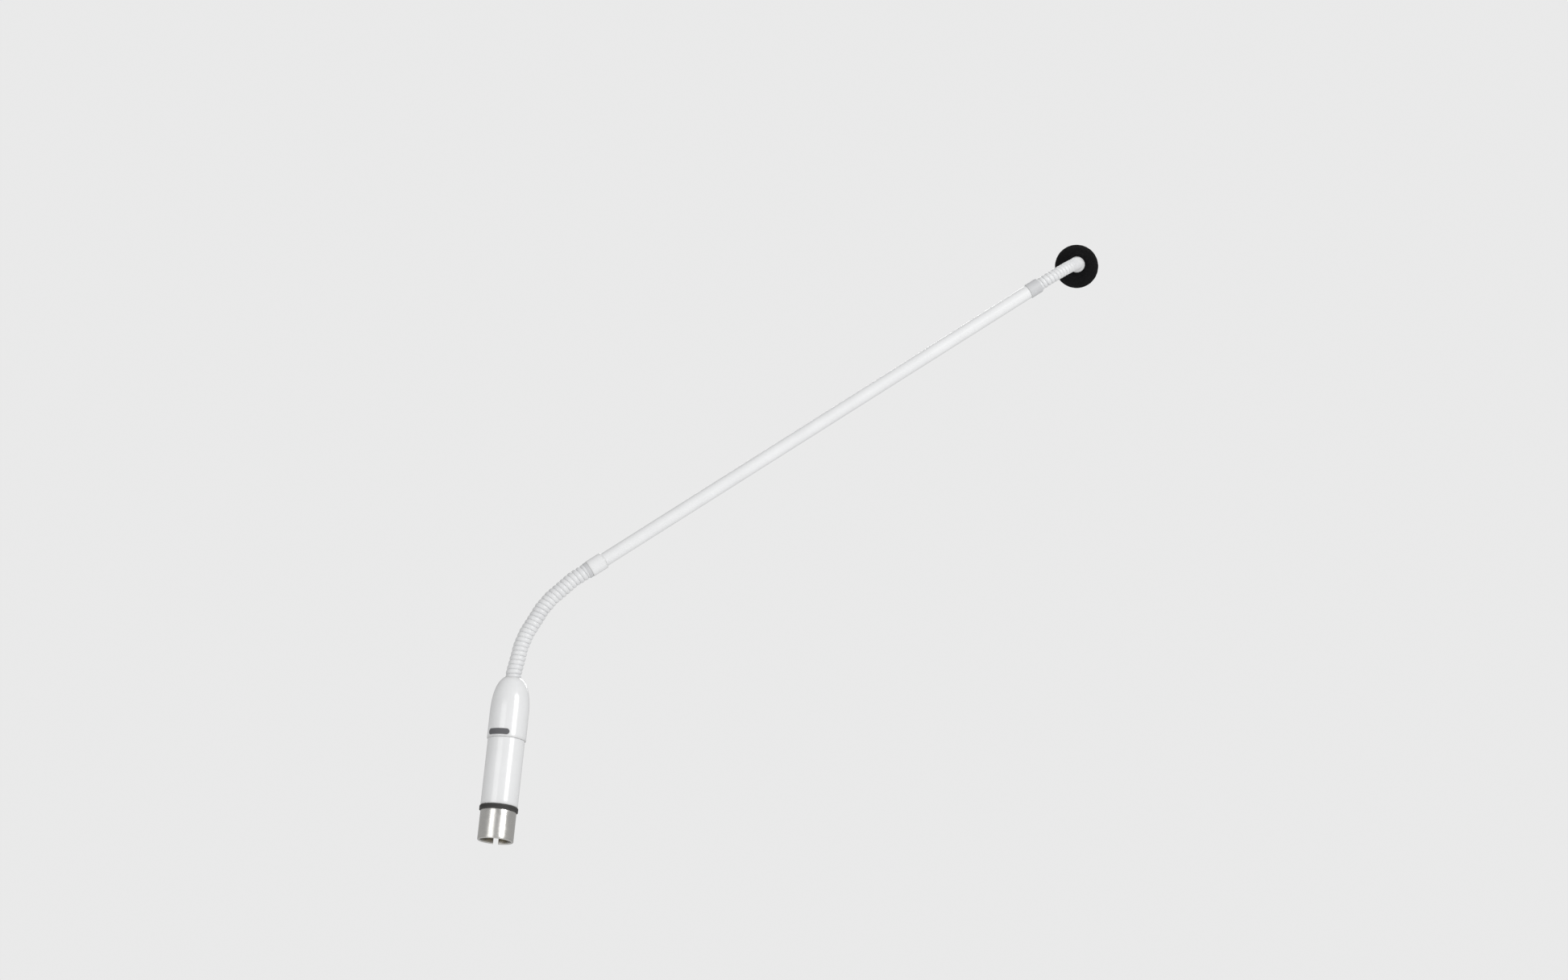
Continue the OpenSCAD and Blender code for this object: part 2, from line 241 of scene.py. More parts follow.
class Bench:
    """The modelling operations that the pieces share."""

    @staticmethod
    def clear() -> None:
        """Deselects everything, in object mode."""
        if bpy.context.mode != "OBJECT":
            bpy.ops.object.mode_set(mode="OBJECT")
        bpy.ops.object.select_all(action="DESELECT")

    @staticmethod
    def take(obj: bpy.types.Object) -> None:
        """Makes one object the only one selected and active.

        Args:
            obj: The object.
        """
        Bench.clear()
        obj.select_set(True)
        bpy.context.view_layer.objects.active = obj

    @staticmethod
    def edit(obj: bpy.types.Object) -> None:
        """Opens an object in edit mode with all of it selected.

        Args:
            obj: The object.
        """
        Bench.take(obj)
        bpy.ops.object.mode_set(mode="EDIT")
        bpy.ops.mesh.select_all(action="SELECT")

    @staticmethod
    def close() -> None:
        """Leaves edit mode."""
        bpy.ops.object.mode_set(mode="OBJECT")

    @staticmethod
    def new(name: str) -> bpy.types.Object:
        """Names the object that was just added and applies its place.

        Args:
            name: The piece's name.

        Returns:
            The object.
        """
        obj = bpy.context.active_object
        obj.name = name
        obj.data.name = name
        bpy.ops.object.transform_apply(location=True, rotation=True, scale=True)
        return obj

    @staticmethod
    def _drawn(name: str, points: Outline, sides: int) -> bpy.types.Object:
        """Draws a ring along an outline, and stays in edit mode with all of it selected.

        Args:
            name: The piece's name.
            points: Points as (distance from the axis, height).
            sides: Number of sides.

        Returns:
            The piece, upright at the origin.
        """
        radius, height = points[0]
        Bench.clear()
        bpy.ops.mesh.primitive_circle_add(
            vertices=sides, radius=radius * MM, location=(0, 0, height * MM))
        obj = Bench.new(name)
        Bench.edit(obj)
        for next_radius, next_height in points[1:]:
            bpy.ops.mesh.extrude_region_move(
                TRANSFORM_OT_translate={"value": (0, 0, (next_height - height) * MM)})
            share = next_radius / radius
            bpy.ops.transform.resize(value=(share, share, 1), center_override=(0, 0, next_height * MM))
            radius = next_radius
            height = next_height
        bpy.ops.mesh.select_all(action="SELECT")
        return obj

    @staticmethod
    def turned(name: str, outline: Outline, sides: int = FINE, step: float = 3.0) -> bpy.types.Object:
        """Turns a closed outline about the upright axis.

        Args:
            name: The piece's name.
            outline: Points as (distance from the axis, height), going once round the section.
            sides: Number of sides.
            step: The longest stretch between two rings.

        Returns:
            The piece, upright at the origin.
        """
        obj = Bench._drawn(name, stepped(outline + [outline[0]], step), sides)
        bpy.ops.mesh.remove_doubles(threshold=MERGE)
        bpy.ops.mesh.normals_make_consistent(inside=False)
        Bench.close()
        return obj

    @staticmethod
    def rod(name: str, outline: Outline, sides: int = FINE, step: float = 3.0) -> bpy.types.Object:
        """Turns an open outline that starts and ends near the axis, and caps both ends.

        Args:
            name: The piece's name.
            outline: Points from the lower end to the upper one.
            sides: Number of sides.
            step: The longest stretch between two rings.

        Returns:
            The piece, upright at the origin.
        """
        obj = Bench._drawn(name, stepped(outline, step), sides)
        bpy.ops.mesh.fill_holes(sides=0)
        bpy.ops.mesh.select_all(action="SELECT")
        bpy.ops.mesh.normals_make_consistent(inside=False)
        Bench.close()
        return obj

    @staticmethod
    def apply(obj: bpy.types.Object) -> None:
        """Applies every modifier on an object, in order.

        Args:
            obj: The object.
        """
        Bench.take(obj)
        for name in [m.name for m in obj.modifiers]:
            bpy.ops.object.modifier_apply(modifier=name)

    @staticmethod
    def rounded(obj: bpy.types.Object, width: float, segments: int = 3, above: float = 30.0) -> None:
        """Rounds an object's sharp edges.

        Args:
            obj: The piece.
            width: Width of the rounding, in millimetres.
            segments: Number of stretches across it.
            above: Edges sharper than this many degrees are rounded.
        """
        soft = obj.modifiers.new("rounding", "BEVEL")
        soft.width = width * MM
        soft.segments = segments
        soft.limit_method = "ANGLE"
        soft.angle_limit = math.radians(above)
        soft.harden_normals = False
        Bench.apply(obj)

    @staticmethod
    def cut(obj: bpy.types.Object, cutter: bpy.types.Object) -> None:
        """Cuts one shape out of another and throws the cutter away.

        Args:
            obj: The piece.
            cutter: The shape to cut out of it.
        """
        knife = obj.modifiers.new("cut", "BOOLEAN")
        knife.operation = "DIFFERENCE"
        knife.solver = "EXACT"
        knife.object = cutter
        Bench.apply(obj)
        bpy.data.objects.remove(cutter, do_unlink=True)

    @staticmethod
    def block(size: tuple[float, float, float], centre: tuple[float, float, float]) -> bpy.types.Object:
        """Adds a plain block to cut with.

        Args:
            size: Its three sides, in millimetres.
            centre: Its centre, in millimetres.

        Returns:
            The block.
        """
        Bench.clear()
        bpy.ops.mesh.primitive_cube_add(size=1, location=[c * MM for c in centre])
        bpy.context.active_object.scale = [s * MM for s in size]
        return Bench.new("cutter")

    @staticmethod
    def drill(diameter: float, low: float, high: float, turn: Matrix | None = None) -> bpy.types.Object:
        """Adds a round bar to cut with.

        Args:
            diameter: The bar's diameter, in millimetres.
            low: Height of its lower end before it is turned.
            high: Height of its upper end.
            turn: How to turn it, or None to leave it upright.

        Returns:
            The bar.
        """
        Bench.clear()
        bpy.ops.mesh.primitive_cylinder_add(
            vertices=FINE // 2, radius=diameter / 2 * MM, depth=(high - low) * MM,
            location=(0, 0, (low + high) / 2 * MM))
        obj = Bench.new("cutter")
        if turn is not None:
            obj.data.transform(turn)
        return obj

    @staticmethod
    def joined(name: str, parts: list[bpy.types.Object]) -> bpy.types.Object:
        """Joins several shapes into one piece.

        Args:
            name: The piece's name.
            parts: The shapes.

        Returns:
            The piece.
        """
        Bench.clear()
        for part in parts:
            part.select_set(True)
        bpy.context.view_layer.objects.active = parts[0]
        bpy.ops.object.join()
        parts[0].name = name
        parts[0].data.name = name
        return parts[0]

    @staticmethod
    def seams(obj: bpy.types.Object, reach: float = 2.5) -> None:
        """Marks how near each point is to the piece's two ends, for the dirt and painted shade laid on
        there.

        Args:
            obj: The upright piece.
            reach: How far from an end the mark fades out, in millimetres.
        """
        heights = [v.co.z for v in obj.data.vertices]
        low = min(heights)
        high = max(heights)
        # the mark drives dirt and painted shade towards the piece's ends
        mark = obj.data.attributes.new("seam", "FLOAT", "POINT")
        values = [max(0.0, 1.0 - min(z - low, high - z) / (reach * MM)) for z in heights]
        mark.data.foreach_set("value", values)

    @staticmethod
    def seated(obj: bpy.types.Object, seat: Seat, smooth: float = 35.0) -> bpy.types.Object:
        """Smooths an upright piece and carries it to its seat.

        Args:
            obj: The piece.
            seat: Its place.
            smooth: Edges flatter than this many degrees are smoothed.

        Returns:
            The piece, with its place in its mesh.
        """
        Bench.take(obj)
        bpy.ops.object.shade_smooth_by_angle(angle=math.radians(smooth))
        obj.matrix_world = seat.matrix()
        Bench.take(obj)
        bpy.ops.object.transform_apply(location=True, rotation=True, scale=True)
        return obj


# ---------------------------------------------------------------------------
# Finishes
# ---------------------------------------------------------------------------


class Sheet:
    """Adds and joins the nodes of one shader or one node group."""

    def __init__(self, tree: bpy.types.NodeTree) -> None:
        """Starts on an empty tree."""
        self.tree = tree
        tree.nodes.clear()

    def add(self, kind: str, inputs: dict | None = None, **settings: object) -> bpy.types.Node:
        """Adds a node.

        Args:
            kind: The node's type name.
            inputs: Values for its sockets, by name or number.
            settings: Values for its own settings.

        Returns:
            The node.
        """
        node = self.tree.nodes.new(kind)
        for key, value in settings.items():
            setattr(node, key, value)
        for key, value in (inputs or {}).items():
            node.inputs[key].default_value = value
        return node

    def wire(self, source: bpy.types.NodeSocket, target: bpy.types.NodeSocket) -> None:
        """Joins an output to an input."""
        self.tree.links.new(source, target)


class Effect:
    """The shader node groups that several finishes share, each built once."""

    _made: dict[str, bpy.types.NodeTree] = {}

    @classmethod
    def _group(cls, name: str, inputs: dict[str, object],
               outputs: dict[str, str]) -> tuple[Sheet, bpy.types.Node, bpy.types.Node]:
        """Starts a group.

        Args:
            name: The group's name.
            inputs: Each input's default value, or None for a vector.
            outputs: Each output's socket type.

        Returns:
            The sheet, the group's input node and its output node.
        """
        tree = bpy.data.node_groups.new(name, "ShaderNodeTree")
        for key, value in inputs.items():
            kind = ("NodeSocketVector" if value is None
                    else "NodeSocketColor" if isinstance(value, tuple) else "NodeSocketFloat")
            socket = tree.interface.new_socket(key, in_out="INPUT", socket_type=kind)
            if value is not None:
                socket.default_value = value
        for key, kind in outputs.items():
            tree.interface.new_socket(key, in_out="OUTPUT", socket_type=kind)
        sheet = Sheet(tree)
        cls._made[name] = tree
        return sheet, sheet.add("NodeGroupInput"), sheet.add("NodeGroupOutput")

    @classmethod
    def mottle(cls) -> bpy.types.NodeTree:
        """Varies a colour a little, in broad soft patches and fine specks.

        Returns:
            The group.
        """
        if "mottle" in cls._made:
            return cls._made["mottle"]
        sheet, start, stop = cls._group(
            "mottle", {"Vector": None, "Colour": (0.8, 0.8, 0.8, 1), "Second": (0.7, 0.7, 0.7, 1),
                       "Patch": 60.0, "Speck": 900.0, "Specks": 0.3}, {"Color": "NodeSocketColor"})
        patch = sheet.add("ShaderNodeTexNoise", {"Detail": 4.0, "Roughness": 0.55})
        speck = sheet.add("ShaderNodeTexNoise", {"Detail": 2.0, "Roughness": 0.5})
        pick = sheet.add("ShaderNodeMapRange", {"From Min": 0.62, "From Max": 0.78})
        dim = sheet.add("ShaderNodeMath", operation="MULTIPLY")
        patches = sheet.add("ShaderNodeMapRange", {"From Min": 0.35, "From Max": 0.7})
        both = sheet.add("ShaderNodeMath", operation="MAXIMUM")
        mix = sheet.add("ShaderNodeMix", data_type="RGBA")
        for noise, scale in ((patch, "Patch"), (speck, "Speck")):
            sheet.wire(start.outputs["Vector"], noise.inputs["Vector"])
            sheet.wire(start.outputs[scale], noise.inputs["Scale"])
        sheet.wire(speck.outputs["Fac"], pick.inputs["Value"])
        sheet.wire(pick.outputs["Result"], dim.inputs[0])
        sheet.wire(start.outputs["Specks"], dim.inputs[1])
        sheet.wire(patch.outputs["Fac"], patches.inputs["Value"])
        sheet.wire(patches.outputs["Result"], both.inputs[0])
        sheet.wire(dim.outputs[0], both.inputs[1])
        sheet.wire(both.outputs[0], mix.inputs["Factor"])
        sheet.wire(start.outputs["Colour"], mix.inputs["A"])
        sheet.wire(start.outputs["Second"], mix.inputs["B"])
        sheet.wire(mix.outputs["Result"], stop.inputs["Color"])
        return sheet.tree

    @classmethod
    def grime_and_shade(cls) -> bpy.types.NodeTree:
        """Darkens a colour towards a piece's ends, broken up by noise: dirt, with painted shade where the
        pieces meet.

        Returns:
            The group.
        """
        if "grime_and_shade" in cls._made:
            return cls._made["grime_and_shade"]
        sheet, start, stop = cls._group(
            "grime_and_shade", {"Vector": None, "Color": (0.8, 0.8, 0.8, 1), "Dirt_and_shade": (0.3, 0.28, 0.25, 1),
                      "Mark": 0.0, "Amount": 0.5}, {"Color": "NodeSocketColor", "Mask": "NodeSocketFloat"})
        # dirt and painted shade at the piece's ends, broken up by noise
        noise = sheet.add("ShaderNodeTexNoise", {"Scale": 700.0, "Detail": 5.0, "Roughness": 0.7})
        steep = sheet.add("ShaderNodeMath", {1: 3.0}, operation="POWER")
        broken = sheet.add("ShaderNodeMapRange", {"From Min": 0.3, "From Max": 0.7, "To Min": 0.35})
        mask = sheet.add("ShaderNodeMath", operation="MULTIPLY")
        amount = sheet.add("ShaderNodeMath", operation="MULTIPLY", use_clamp=True)
        mix = sheet.add("ShaderNodeMix", data_type="RGBA")
        sheet.wire(start.outputs["Vector"], noise.inputs["Vector"])
        sheet.wire(start.outputs["Mark"], steep.inputs[0])
        sheet.wire(noise.outputs["Fac"], broken.inputs["Value"])
        sheet.wire(steep.outputs[0], mask.inputs[0])
        sheet.wire(broken.outputs["Result"], mask.inputs[1])
        sheet.wire(mask.outputs[0], amount.inputs[0])
        sheet.wire(start.outputs["Amount"], amount.inputs[1])
        sheet.wire(amount.outputs[0], mix.inputs["Factor"])
        sheet.wire(start.outputs["Color"], mix.inputs["A"])
        sheet.wire(start.outputs["Dirt_and_shade"], mix.inputs["B"])
        sheet.wire(mix.outputs["Result"], stop.inputs["Color"])
        sheet.wire(amount.outputs[0], stop.inputs["Mask"])
        return sheet.tree

    @classmethod
    def handled(cls) -> bpy.types.NodeTree:
        """Makes a roughness uneven, as handling does.

        Returns:
            The group.
        """
        if "handled" in cls._made:
            return cls._made["handled"]
        sheet, start, stop = cls._group(
            "handled", {"Vector": None, "Scale": 140.0, "Low": 0.2, "High": 0.3},
            {"Roughness": "NodeSocketFloat"})
        smear = sheet.add("ShaderNodeTexNoise", {"Detail": 6.0, "Roughness": 0.62, "Distortion": 0.6})
        spread = sheet.add("ShaderNodeMapRange", {"From Min": 0.32, "From Max": 0.68})
        sheet.wire(start.outputs["Vector"], smear.inputs["Vector"])
        sheet.wire(start.outputs["Scale"], smear.inputs["Scale"])
        sheet.wire(smear.outputs["Fac"], spread.inputs["Value"])
        sheet.wire(start.outputs["Low"], spread.inputs["To Min"])
        sheet.wire(start.outputs["High"], spread.inputs["To Max"])
        sheet.wire(spread.outputs["Result"], stop.inputs["Roughness"])
        return sheet.tree

    @classmethod
    def relief(cls) -> bpy.types.NodeTree:
        """Makes a surface's fine relief: a soft ripple with a finer grain over it.

        Returns:
            The group.
        """
        if "relief" in cls._made:
            return cls._made["relief"]
        sheet, start, stop = cls._group(
            "relief", {"Vector": None, "Ripple": 900.0, "Grain": 4000.0, "Share": 0.3},
            {"Height": "NodeSocketFloat"})
        ripple = sheet.add("ShaderNodeTexNoise", {"Detail": 1.5, "Roughness": 0.4})
        grain = sheet.add("ShaderNodeTexNoise", {"Detail": 3.0, "Roughness": 0.6})
        mix = sheet.add("ShaderNodeMix", data_type="FLOAT")
        for noise, scale in ((ripple, "Ripple"), (grain, "Grain")):
            sheet.wire(start.outputs["Vector"], noise.inputs["Vector"])
            sheet.wire(start.outputs[scale], noise.inputs["Scale"])
        sheet.wire(start.outputs["Share"], mix.inputs["Factor"])
        sheet.wire(ripple.outputs["Fac"], mix.inputs["A"])
        sheet.wire(grain.outputs["Fac"], mix.inputs["B"])
        sheet.wire(mix.outputs["Result"], stop.inputs["Height"])
        return sheet.tree

    @staticmethod
    def place(sheet: Sheet, tree: bpy.types.NodeTree, inputs: dict[str, object]) -> bpy.types.Node:
        """Places a group in a material with its own values.

        Args:
            sheet: The material's sheet.
            tree: The group.
            inputs: A socket to wire or a value to set, for each input.

        Returns:
            The group's node.
        """
        node = sheet.add("ShaderNodeGroup", node_tree=tree)
        for key, value in inputs.items():
            if isinstance(value, bpy.types.NodeSocket):
                sheet.wire(value, node.inputs[key])
            else:
                node.inputs[key].default_value = value
        return node


@dataclass(frozen=True)
class Finish:
    """A finish: its colours, how rough it is, and the scale of its relief. Scales are per metre."""

    name: str
    slot: str
    colour: Colour
    second: Colour
    rough: tuple[float, float] = (0.3, 0.4)
    metallic: float = 0.0
    coat: float = 0.0
    coat_rough: float = 0.12
    sheen: float = 0.0
    specular: float = 0.5
    patch: float = 60.0
    speck: float = 900.0
    specks: float = 0.3
    ripple: float = 900.0
    grain: float = 4000.0
    grain_share: float = 0.3
    depth: float = 0.004
    # colour and amount of the dirt and painted shade laid at a piece's ends
    dirt_and_shade: Colour = (0.30, 0.29, 0.27)
    dirt_and_shade_amount: float = 0.0
    smear: float = 140.0

    def build(self) -> bpy.types.Material:
        """Builds the material the first time, and finds it after that.

        Returns:
            The material.
        """
        found = bpy.data.materials.get(self.name)
        if found:
            return found
        material = bpy.data.materials.new(self.name)
        material.use_nodes = True
        sheet = Sheet(material.node_tree)
        shader = sheet.add("ShaderNodeBsdfPrincipled", {
            "Metallic": self.metallic, "Coat Weight": self.coat, "Coat Roughness": self.coat_rough,
            "Sheen Weight": self.sheen, "Specular IOR Level": self.specular})
        out = sheet.add("ShaderNodeOutputMaterial")
        sheet.wire(shader.outputs["BSDF"], out.inputs["Surface"])
        where = sheet.add("ShaderNodeTexCoord").outputs["Object"]
        colour = Effect.place(sheet, Effect.mottle(), {
            "Vector": where, "Colour": (*self.colour, 1), "Second": (*self.second, 1),
            "Patch": self.patch, "Speck": self.speck, "Specks": self.specks}).outputs["Color"]
        self._colour(sheet, shader, where, colour)
        rough = Effect.place(sheet, Effect.handled(), {
            "Vector": where, "Scale": self.smear, "Low": self.rough[0], "High": self.rough[1]})
        sheet.wire(rough.outputs["Roughness"], shader.inputs["Roughness"])
        self._relief(sheet, shader, where)
        return material

    def _colour(self, sheet: Sheet, shader: bpy.types.Node, where: bpy.types.NodeSocket,
                colour: bpy.types.NodeSocket) -> None:
        """Wires the colour, with dirt and painted shade at the piece's ends where the finish has any.

        Args:
            sheet: The material's sheet.
            shader: Its shader.
            where: The place on the piece.
            colour: The clean colour.
        """
        # dirt and painted shade: the colour is mixed towards the dirt colour near the piece's ends
        if self.dirt_and_shade_amount:
            mark = sheet.add("ShaderNodeAttribute", attribute_name="seam")
            dirty_and_shaded = Effect.place(sheet, Effect.grime_and_shade(), {
                "Vector": where, "Color": colour, "Dirt_and_shade": (*self.dirt_and_shade, 1),
                "Mark": mark.outputs["Fac"], "Amount": self.dirt_and_shade_amount})
            colour = dirty_and_shaded.outputs["Color"]
        sheet.wire(colour, shader.inputs["Base Color"])

    def _relief(self, sheet: Sheet, shader: bpy.types.Node, where: bpy.types.NodeSocket) -> None:
        """Wires the fine relief through a bump.

        Args:
            sheet: The material's sheet.
            shader: Its shader.
            where: The place on the piece.
        """
        relief = Effect.place(sheet, Effect.relief(), {
            "Vector": where, "Ripple": self.ripple, "Grain": self.grain, "Share": self.grain_share})
        bump = sheet.add("ShaderNodeBump", {"Strength": 1.0, "Distance": self.depth * MM})
        sheet.wire(relief.outputs["Height"], bump.inputs["Height"])
        sheet.wire(bump.outputs["Normal"], shader.inputs["Normal"])


@dataclass(frozen=True)
class Foam(Finish):
    """Open-cell foam: pores in painted shade between fine lighter struts, with more painted shade where the
    surface lies low.
    """

    cells: float = 2100.0
    strut: Colour = (0.018, 0.018, 0.019)

    def _colour(self, sheet: Sheet, shader: bpy.types.Node, where: bpy.types.NodeSocket,
                colour: bpy.types.NodeSocket) -> None:
        """Wires pores in painted shade, lighter struts, and painted shade that follows the depth that the
        shape itself has.

        Args:
            sheet: The material's sheet.
            shader: Its shader.
            where: The place on the piece.
            colour: The pores' colour, a painted shade.
        """
        # painted shade: the pores are darker than the struts, and low points darker than proud ones
        cells = sheet.add("ShaderNodeTexVoronoi", {"Scale": self.cells}, feature="DISTANCE_TO_EDGE")
        sheet.wire(where, cells.inputs["Vector"])
        wall = sheet.add("ShaderNodeMapRange", {
            "From Min": 0.05, "From Max": 0.22, "To Min": 1.0, "To Max": 0.0})
        sheet.wire(cells.outputs["Distance"], wall.inputs["Value"])
        proud_unshaded = sheet.add("ShaderNodeAttribute", attribute_name="proud_unshaded")
        lift = sheet.add("ShaderNodeMath", operation="MULTIPLY", use_clamp=True)
        sheet.wire(wall.outputs["Result"], lift.inputs[0])
        sheet.wire(proud_unshaded.outputs["Fac"], lift.inputs[1])
        mix = sheet.add("ShaderNodeMix", {"B": (*self.strut, 1)}, data_type="RGBA")
        sheet.wire(lift.outputs[0], mix.inputs["Factor"])
        sheet.wire(colour, mix.inputs["A"])
        sheet.wire(mix.outputs["Result"], shader.inputs["Base Color"])

    def _relief(self, sheet: Sheet, shader: bpy.types.Node, where: bpy.types.NodeSocket) -> None:
        """Wires the struts' relief through a bump.

        Args:
            sheet: The material's sheet.
            shader: Its shader.
            where: The place on the piece.
        """
        cells = sheet.add("ShaderNodeTexVoronoi", {"Scale": self.cells}, feature="DISTANCE_TO_EDGE")
        fine = sheet.add("ShaderNodeTexNoise", {"Scale": self.grain, "Detail": 3.0})
        pit = sheet.add("ShaderNodeMapRange", {"From Max": 0.3, "To Min": 1.0, "To Max": 0.0})
        both = sheet.add("ShaderNodeMath", {2: 0.25}, operation="MULTIPLY_ADD")
        sheet.wire(where, cells.inputs["Vector"])
        sheet.wire(where, fine.inputs["Vector"])
        sheet.wire(cells.outputs["Distance"], pit.inputs["Value"])
        sheet.wire(pit.outputs["Result"], both.inputs[0])
        sheet.wire(fine.outputs["Fac"], both.inputs[1])
        bump = sheet.add("ShaderNodeBump", {"Strength": 1.0, "Distance": self.depth * MM})
        sheet.wire(both.outputs[0], bump.inputs["Height"])
        sheet.wire(bump.outputs["Normal"], shader.inputs["Normal"])


# The dirt amounts below lay dirt with painted shade at the ends of the enamel, tube and nickel pieces; on
# rubber the dirt is lighter dust.
ENAMEL = Finish("gloss_enamel", "white_enamel", (0.84, 0.845, 0.85), (0.80, 0.805, 0.81), (0.14, 0.24),
                coat=0.35, specks=0.25, ripple=700, grain=2600, grain_share=0.15, depth=0.010,
                dirt_and_shade_amount=0.5)
TUBE_PAINT = Finish("satin_enamel", "white_tube", (0.85, 0.855, 0.86), (0.81, 0.815, 0.82), (0.26, 0.36),
                    coat=0.15, specks=0.2, ripple=900, grain=3000, grain_share=0.3, depth=0.010,
                    dirt_and_shade_amount=0.35)
COIL_PAINT = Finish("coil_paint", "coil", (0.80, 0.805, 0.81), (0.73, 0.735, 0.745), (0.3, 0.45),
                    patch=120, speck=1600, specks=0.5, ripple=1600, grain=5200, grain_share=0.5, depth=0.022)
# Painted shade: the core under the wire is dark grey, for the shade in the grooves between the white turns.
COIL_GROOVE_SHADE = Finish("coil_groove_painted_shade", "coil", (0.30, 0.30, 0.305), (0.22, 0.22, 0.22), (0.55, 0.7), depth=0.02)
NICKEL = Finish("satin_nickel", "nickel", (0.70, 0.69, 0.66), (0.62, 0.61, 0.59), (0.22, 0.36),
                metallic=1.0, ripple=1200, grain=6000, grain_share=0.6, depth=0.004, dirt_and_shade_amount=0.3)
CONTACT = Finish("contact_gold", "contact_gold", (0.85, 0.64, 0.28), (0.78, 0.57, 0.24), (0.16, 0.28),
                 metallic=1.0)
BRASS = Finish("turned_brass", "brass", (0.74, 0.55, 0.25), (0.62, 0.45, 0.2), (0.25, 0.4),
               metallic=1.0)
STEEL = Finish("zinc_steel", "screw_steel", (0.60, 0.61, 0.63), (0.5, 0.5, 0.51), (0.28, 0.42),
               metallic=1.0)
CAN = Finish("drawn_can", "capsule_can", (0.76, 0.76, 0.77), (0.68, 0.68, 0.69), (0.24, 0.38),
             metallic=1.0)
BLACK = Finish("black_moulding", "black_plastic", (0.024, 0.024, 0.025), (0.034, 0.034, 0.034), (0.42, 0.56),
               ripple=2200, grain=6000, grain_share=0.6, depth=0.012)
RUBBER = Finish("moulded_rubber", "rubber", (0.022, 0.022, 0.022), (0.038, 0.037, 0.036), (0.62, 0.78),
                specular=0.35, ripple=1500, grain=5200, grain_share=0.7, depth=0.02,
                dirt_and_shade=(0.12, 0.115, 0.11), dirt_and_shade_amount=0.5)
GREY = Finish("grey_moulding", "grey_plastic", (0.62, 0.625, 0.635), (0.56, 0.565, 0.575), (0.4, 0.55),
              ripple=2000, grain=6000, grain_share=0.6, depth=0.012)
MASK = Finish("solder_mask", "circuit_board", (0.012, 0.16, 0.06), (0.02, 0.22, 0.09), (0.25, 0.4), coat=0.2)
INK = Finish("badge_ink", "badge_ink", (0.085, 0.087, 0.092), (0.11, 0.112, 0.116), (0.3, 0.42), coat=0.3)
SHEATH = Finish("lead_sheath", "lead_sheath", (0.04, 0.04, 0.042), (0.06, 0.06, 0.06), (0.5, 0.65))
# the foam's colour is the pores' painted shade; its strut colour is the foam's own
FOAM = Foam("windscreen_foam", "foam", (0.0022, 0.0022, 0.0024), (0.0040, 0.0040, 0.0043), (0.9, 0.98),
            sheen=0.01, specular=0.05, grain=6500, depth=0.25)


def dress(node: str, finish: Finish) -> None:
    """Gives a piece of the frame its finish.

    Args:
        node: The node's name.
        finish: The finish.
    """
    obj = frame["nodes"][node]
    obj.data.materials.clear()
    obj.data.materials.append(finish.build())
    log.info("dressed %s in %s", node, finish.name)


def finished(obj: bpy.types.Object, finish: Finish, nodes: list[str], body: str | None) -> bpy.types.Object:
    """Gives a new piece its finish, its body and the nodes that it stands for.

    Args:
        obj: The piece, in place.
        finish: Its finish.
        nodes: The nodes that it stands for.
        body: The body that it rides on, or None if it bends between two.

    Returns:
        The piece.
    """
    if not obj.data.materials:
        obj.data.materials.append(finish.build())
    if nodes:
        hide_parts(*nodes)
    if body:
        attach(obj, body)
    log.info("made %s", obj.name)
    return obj


# ---------------------------------------------------------------------------
# The microphone's sub-assemblies
# ---------------------------------------------------------------------------


